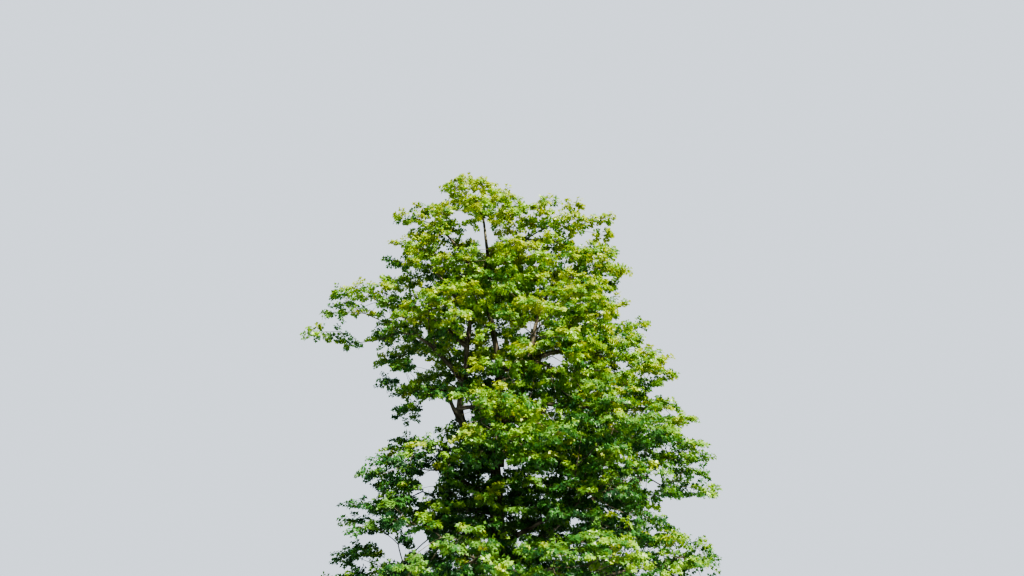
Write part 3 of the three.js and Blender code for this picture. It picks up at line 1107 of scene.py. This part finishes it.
def through_points(control, step):
    """A soft curve through points that have a radius, with places about a step apart."""
    padded = np.vstack([2 * control[0] - control[1], control, 2 * control[-1] - control[-2]])
    pieces = []
    for i in range(len(control) - 1):
        a, b, c, d = padded[i:i + 4]
        length = np.linalg.norm((c - b)[:3])
        t = np.linspace(0, 1, max(2, round(length / step) + 1))[:-1, None]
        pieces.append(0.5 * (2 * b + (c - a) * t + (2 * a - 5 * b + 4 * c - d) * t ** 2
                             + (3 * b - a - 3 * c + d) * t ** 3))
    pieces.append(control[-1:])
    return np.concatenate(pieces)


def branch_line(run):
    """The curve of one branch with its radius in the fourth column."""
    radius = thickness[run]
    widest = thickness[run[0]] if run[0] >= first_neck else math.inf
    radius[0] = min(thickness[run[1]] * ROOT_WIDENS, widest)
    control = np.column_stack([points[run], radius])
    line = through_points(control, BRANCH_STEP)
    line[:, 3] = np.maximum(line[:, 3], CLUMP_TWIG_RADIUS * TIP_THINS)
    for i in range(1, len(line) - 1):
        line[i, :3] += np.array(noise.noise_vector(Vector(line[i, :3]) * WOBBLE_SCALE)) * WOBBLE
    return line


def tubes_of(lines, sides):
    """Tubes along lines of any length, made together where their lengths agree."""
    by_count = {}
    for line in lines:
        by_count.setdefault(len(line), []).append(line)
    parts = []
    for same in by_count.values():
        stack = np.array(same)
        parts.append(sweep(stack[:, :, :3], stack[:, :, 3], sides))
    return parts


branch_lines = [branch_line(run) for run in runs]
thick = [line for line in branch_lines if line[0, 3] >= THICK_BRANCH]
thin = [line for line in branch_lines if line[0, 3] < THICK_BRANCH]
branch_places, branch_faces = joined(tubes_of(thick, THICK_SIDES) + tubes_of(thin, THIN_SIDES))
branches = mesh_object("branches", branch_places, branch_faces, bark)
give_grain(branches, branch_places)
print(len(thick), "thick and", len(thin), "thin branches,", len(branches.data.polygons), "faces")

# %% [markdown]
# A clump has up to nine twigs that fan out from the end of its branchlet, a little upwards and
# towards the light, and bow under their leaves. A twig whose middle would close a gap of sky, or
# hide a bare limb from the front, is left out.

# %% Twigs of each clump
TWIGS_PER_CLUMP = 9
LOST_IN_SHADE = 0.45
TWIG_LENGTH = (0.28, 0.56)
TWIG_RADIUS = 0.0045
TWIG_TIP = 0.35
TWIG_RINGS = 3
TWIG_SIDES = 3
TWIG_BOW = 0.22
TWIG_MIDDLE = 0.6
TWIG_MARGIN = 0.04
GOLDEN_ANGLE = math.radians(137.5)
TURN_SPREAD = 0.25
FIRST_RISE, OTHER_RISE, RISE_SPREAD = 50, 10, 14
ROOT_SPREAD = 0.012
OUT_PULL = 0.35
STEM_SIDE_RISE = 0.5
LEVEL = (1, 1, 0)
NEARLY_LEVEL = (1, 1, 0.3)


def outward_of(place):
    """The way out of the crown: its nearest skin's, or away from the stem between two masses."""
    nearest, normal, _, _ = crown.find_nearest(Vector(place))
    if (nearest - Vector(place)).dot(normal) > 0:
        return np.array(normal)
    return unit(place * LEVEL + UP * STEM_SIDE_RISE)


clump_out = np.array([outward_of(place) for place in clump_places])
twig_counts = np.round(TWIGS_PER_CLUMP * (1 - LOST_IN_SHADE * clump_shades)).astype(int)
twig_clump = np.repeat(np.arange(len(clumps)), twig_counts)
twig_turn = np.concatenate([np.arange(n) for n in twig_counts])
twig_total = len(twig_clump)

azimuth = twig_turn * GOLDEN_ANGLE + rng.random(len(clumps))[twig_clump] * 2 * math.pi
azimuth += rng.normal(0, TURN_SPREAD, twig_total)
rise = np.where(twig_turn == 0, FIRST_RISE, OTHER_RISE) + rng.normal(0, RISE_SPREAD, twig_total)
rise = np.radians(rise)
twig_way = np.column_stack([np.cos(rise) * np.cos(azimuth), np.cos(rise) * np.sin(azimuth), np.sin(rise)])
twig_way = unit(twig_way + OUT_PULL * clump_out[twig_clump] * NEARLY_LEVEL)
twig_length = between(rng, TWIG_LENGTH, twig_total)
twig_start = necks[twig_clump] + rng.normal(0, ROOT_SPREAD, (twig_total, 3))
twig_middle = twig_start + TWIG_MIDDLE * twig_length[:, None] * twig_way
barred = in_openings(twig_middle, SKY_GAPS, TWIG_MARGIN)
barred |= in_openings(twig_middle, BARE_LIMBS, TWIG_MARGIN) & (twig_middle[:, 1] < 0)
twig_clump, twig_turn, twig_way, twig_start, twig_length = (
    values[~barred] for values in (twig_clump, twig_turn, twig_way, twig_start, twig_length)
)
twig_total = len(twig_clump)


def on_twigs(twig, share):
    """The places on those twigs at those shares of their lengths."""
    reach = twig_length[twig]
    bow = -TWIG_BOW * share ** 2 * reach
    return twig_start[twig] + twig_way[twig] * (reach * share)[:, None] + UP * bow[:, None]


every_twig = np.arange(twig_total)
rings = [on_twigs(every_twig, np.full(twig_total, share)) for share in np.linspace(0, 1, TWIG_RINGS)]
twig_radii = np.linspace(1, TWIG_TIP, TWIG_RINGS)[None] * TWIG_RADIUS * np.ones((twig_total, 1))
twigs = mesh_object("twigs", *sweep(np.stack(rings, 1), twig_radii, TWIG_SIDES), young_wood)
print(twig_total, "twigs,", len(twigs.data.polygons), "faces")

# %% [markdown]
# A maple leaf has five lobes, is folded along its midrib and bends down at its tip. One half of
# its outline is written down for a leaf of length one, mirrored, and fanned out from the base. The
# yellow-green leaves catch the eye, so they have all five lobes, in six faces. The others have
# three lobes in four faces.

# %% Leaf shape
FULL_HALF = np.array([(0.45, 0.0), (0.61, 0.57), (0.19, 0.52)])
PLAIN_HALF = np.array([(0.62, 0.4), (0.22, 0.5)])
LEAF_TIP = (0.0, 1.0)
LEAF_FOLD = 0.24
LEAF_BEND = 0.16


def leaf_outline(right):
    """The corners of a leaf of length one, base first, and its triangles."""
    left = right[::-1] * (-1, 1)
    flat = np.vstack([[(0.0, 0.0)], right, [LEAF_TIP], left])
    faces = [(0, k, k + 1) for k in range(1, len(flat) - 1)]
    lift = LEAF_FOLD * np.abs(flat[:, 0]) - LEAF_BEND * flat[:, 1] ** 2
    return np.column_stack([flat, lift]), np.array(faces)


full_leaf, plain_leaf = leaf_outline(FULL_HALF), leaf_outline(PLAIN_HALF)
print("a full leaf has", len(full_leaf[1]), "faces and a plain one", len(plain_leaf[1]))

# %% [markdown]
# Maple leaves stand in opposite pairs, each pair turned a quarter from the one before, and two
# more stand at the end of the twig. Each has a long stalk. A place on a twig is a share of its
# length, and the stalk leaves it at a roll round the twig.

# %% Where the leaves sit
PAIRS = 7
FIRST_PAIR = 0.3
PAIRS_SPAN = 0.6
END_LEAVES = 2
SHARE_SPREAD = 0.03
LEAST_SHARE = 0.12
ROLL_SPREAD = 0.35
STALK_LENGTH = (0.04, 0.1)
STALK_FORWARD = 0.75
STALK_UPRIGHT = 0.7

leaf_share, leaf_side, leaf_roll = [], [], []
for pair in range(PAIRS):
    for side in (0, 1):
        leaf_share.append(FIRST_PAIR + PAIRS_SPAN * pair / (PAIRS - 1))
        leaf_side.append(side)
        leaf_roll.append((pair % 2) * math.pi / 2)
for side in range(END_LEAVES):
    leaf_share.append(1.0)
    leaf_side.append(side)
    leaf_roll.append(math.pi / 4)
per_twig = len(leaf_share)
leaf_twig = np.repeat(every_twig, per_twig)
leaf_clump = twig_clump[leaf_twig]
leaf_total = len(leaf_twig)
share = np.tile(leaf_share, twig_total) + rng.normal(0, SHARE_SPREAD, leaf_total)
share = np.clip(share, LEAST_SHARE, 1.0)
roll = np.tile(leaf_roll, twig_total) + np.pi * np.tile(leaf_side, twig_total)
roll += rng.normal(0, ROLL_SPREAD, leaf_total)

way = twig_way[leaf_twig]
joint = on_twigs(leaf_twig, share)
sideways = unit(np.cross(way, UP))
above = np.cross(sideways, way)
stalk_way = STALK_FORWARD * way + sideways * np.cos(roll)[:, None]
stalk_way = unit(stalk_way + above * np.sin(roll)[:, None] * STALK_UPRIGHT)
stalk_length = between(rng, STALK_LENGTH, leaf_total)
base = joint + stalk_way * stalk_length[:, None]
print(leaf_total, "leaves,", per_twig, "on each twig")

# %% [markdown]
# A leaf points where its stalk does but droops, and turns its face up to the light, out of the
# crown and a little along its twig. No two do it quite alike. Leaves in the shade are larger and
# fewer, and a leaf that would grow past the tree's own size is left out.

# %% How the leaves hang
HEADING_FORWARD = 0.25
HEADING_SPREAD = 0.25
DROOP = -0.6
DROOP_SPREAD = 0.25
FACE_UP, FACE_OUT, FACE_ALONG = 0.8, 0.8, 0.5
FACE_SPREAD = 0.62
LEAF_LENGTH = 0.116
LENGTH_SPREAD = 0.14
LENGTH_LIMITS = (0.6, 1.25)
END_STARTS = 0.95
END_SIZE = 0.85
LARGER_IN_SHADE = 0.25
FEWER_IN_SHADE = 0.7
BOX_ROOM = 0.02

heading = stalk_way * NEARLY_LEVEL + HEADING_FORWARD * way
heading = unit(heading + rng.normal(0, HEADING_SPREAD, (leaf_total, 3)))
heading = unit(heading + UP * (DROOP + rng.normal(0, DROOP_SPREAD, leaf_total))[:, None])
facing = FACE_UP * UP + FACE_OUT * clump_out[leaf_clump] + FACE_ALONG * share[:, None] * way * LEVEL
facing += rng.normal(0, FACE_SPREAD, (leaf_total, 3))
facing = unit(facing - heading * (facing * heading).sum(1, keepdims=True))
across = np.cross(heading, facing)
leaf_size = LEAF_LENGTH * np.clip(rng.normal(1.0, LENGTH_SPREAD, leaf_total), *LENGTH_LIMITS)
leaf_size *= np.where(share > END_STARTS, END_SIZE, 1.0)
leaf_shade = clump_shades[leaf_clump]
leaf_size *= 1 + LARGER_IN_SHADE * leaf_shade
kept = rng.random(leaf_total) < 1 - FEWER_IN_SHADE * leaf_shade
low, high = (np.array(corner) for corner in cad_box)
room = BOX_ROOM * (high - low)
kept &= ((base > low - room) & (base < high + room)).all(1)
print(int(kept.sum()), "leaves are kept")

# %% [markdown]
# Each spray gets one tint, and the tints paint light and shade into the leaves' colour. Sprays on top and
# on the sunny side tend to a painted sunlit yellow-green, the rest to fresh and mid green, and those deep
# inside or under the crown to a painted shade of deep green. A clump's painted light is worked out from
# its mass, the way it looks, its depth and its height. Chance shifts each clump and each spray as the
# leaves' own varied colour, and steps in that light part the tints.

# %% Dealing out the tints
SUNNY = unit(np.array(SUN_FROM))
TINT_ORDER = ["leaves_deep", "leaves_mid", "leaves_fresh", "leaves_sunlit", "leaves_gold"]
TINT_STEPS = (0.13, 0.43, 0.72, 0.94)
SLOT_PAINTED_LIGHT = {"leaves_sunlit": 0.12, "leaves_green": 0.0, "leaves_shaded": -0.14}
MIDDLE_LIGHT = 0.52
# These paint light and shade into the tints: lighter on the sunny side and higher up, darker deep inside.
PAINTED_SUN_SIDE = 0.16
PAINTED_SHADE_INSIDE = 0.2
SKIN_DEPTH = 0.5
DARKEST_DEPTH = 1.6
PAINTED_LIGHT_UP = 0.033
MIDDLE_HEIGHT = 9.5
CLUMP_SPREAD = 0.12
SPRAY_SPREAD = 0.23
FIRST_TWIG_PAINTED_LIGHT = 0.06

node_slot = {part["node"]: part["material_slot"] for part in frame["record"]["subparts"]}
past_skin = np.clip(clump_depths - SKIN_DEPTH, 0, DARKEST_DEPTH)
# Masses that the record calls sunlit are painted lighter, and shaded ones darker.
clump_tone_and_painted_light = np.array([SLOT_PAINTED_LIGHT[node_slot[name]] for _, _, name in clumps])
# Painted sunlight on the side that faces the lamp, and painted shade deeper inside the crown.
clump_tone_and_painted_light += MIDDLE_LIGHT + PAINTED_SUN_SIDE * (clump_out @ SUNNY) - PAINTED_SHADE_INSIDE * past_skin
# Painted light higher up and painted shade lower down.
clump_tone_and_painted_light += PAINTED_LIGHT_UP * (clump_places[:, 2] - MIDDLE_HEIGHT)
clump_tone_and_painted_light += rng.normal(0, CLUMP_SPREAD, len(clumps))
spray_tone_and_painted_light = clump_tone_and_painted_light[twig_clump] + rng.normal(0, SPRAY_SPREAD, twig_total)
# The first twig, which rises highest in its clump, is painted a little lighter.
spray_tone_and_painted_light += FIRST_TWIG_PAINTED_LIGHT * (twig_turn == 0)
leaf_tint = np.digitize(spray_tone_and_painted_light, TINT_STEPS)[leaf_twig]
tint_counts = np.bincount(leaf_tint[kept], minlength=len(TINT_ORDER))
print("leaves by tint", dict(zip(TINT_ORDER, tint_counts.tolist())))

# %% [markdown]
# The leaves of a tint are joined into one mesh, or into several where one would be too heavy. A
# leaf's corners are laid out along its own three directions, and its stalk is one sliver of a
# triangle from the twig to the base of the blade.

# %% Leaf meshes
MOST_LEAVES = 27000
PLAIN_TINTS = ("leaves_deep", "leaves_mid", "leaves_fresh")
STALK_WIDTH = 0.035


def leaves_mesh(name, chosen, outline, material):
    """One mesh of the chosen leaves with their stalks."""
    leaf_corners, leaf_faces = outline
    size = leaf_size[chosen, None, None]
    x, y, z = (leaf_corners[None, :, k, None] for k in range(3))
    blade = base[chosen, None] + size * (
        x * across[chosen, None] + y * heading[chosen, None] + z * facing[chosen, None]
    )
    half = STALK_WIDTH / 2 * leaf_size[chosen, None] * across[chosen]
    stalk = np.stack([joint[chosen], base[chosen] + half, base[chosen] - half], 1)
    places = np.concatenate([blade, stalk], 1)
    corner_count = places.shape[1]
    faces = np.vstack([leaf_faces, np.arange(3) + len(leaf_corners)])
    faces = faces[None] + (np.arange(len(chosen)) * corner_count)[:, None, None]
    return mesh_object(name, places.reshape(-1, 3), faces.reshape(-1, 3), material)


leaf_pieces = []
for index, tint in enumerate(TINT_ORDER):
    chosen = np.flatnonzero((leaf_tint == index) & kept)
    portions = max(1, math.ceil(len(chosen) / MOST_LEAVES))
    for number, portion in enumerate(np.array_split(chosen, portions), 1):
        name = tint if portions == 1 else f"{tint}_{number}"
        outline = plain_leaf if tint in PLAIN_TINTS else full_leaf
        piece = leaves_mesh(name, portion, outline, leaf_materials[tint])
        borne = {clumps[c][2] for c in np.unique(leaf_clump[portion])}
        leaf_pieces.append((piece, LEAF_TINTS[tint][0], sorted(borne)))
        print(name, len(portion), "leaves,", len(piece.data.polygons), "faces")

# %% [markdown]
# Each new piece is tied to the tree's one body, and the solids it stands for are hidden.

# %% Hand the pieces to the frame
wood_nodes = [name for name in nodes if not name.startswith("foliage_")]
wood_pieces = (trunk_piece, bough_piece, branches, twigs)
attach(trunk_piece, "root")
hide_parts("trunk")
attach(bough_piece, "root")
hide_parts(*[name for name in wood_nodes if name != "trunk"])
for piece in (branches, twigs):
    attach(piece, "root")
    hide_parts(*foliage_names)
for piece, slot, names in leaf_pieces:
    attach(piece, "root")
    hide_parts(*names)
print(len(wood_pieces) + len(leaf_pieces), "pieces ride on the tree")
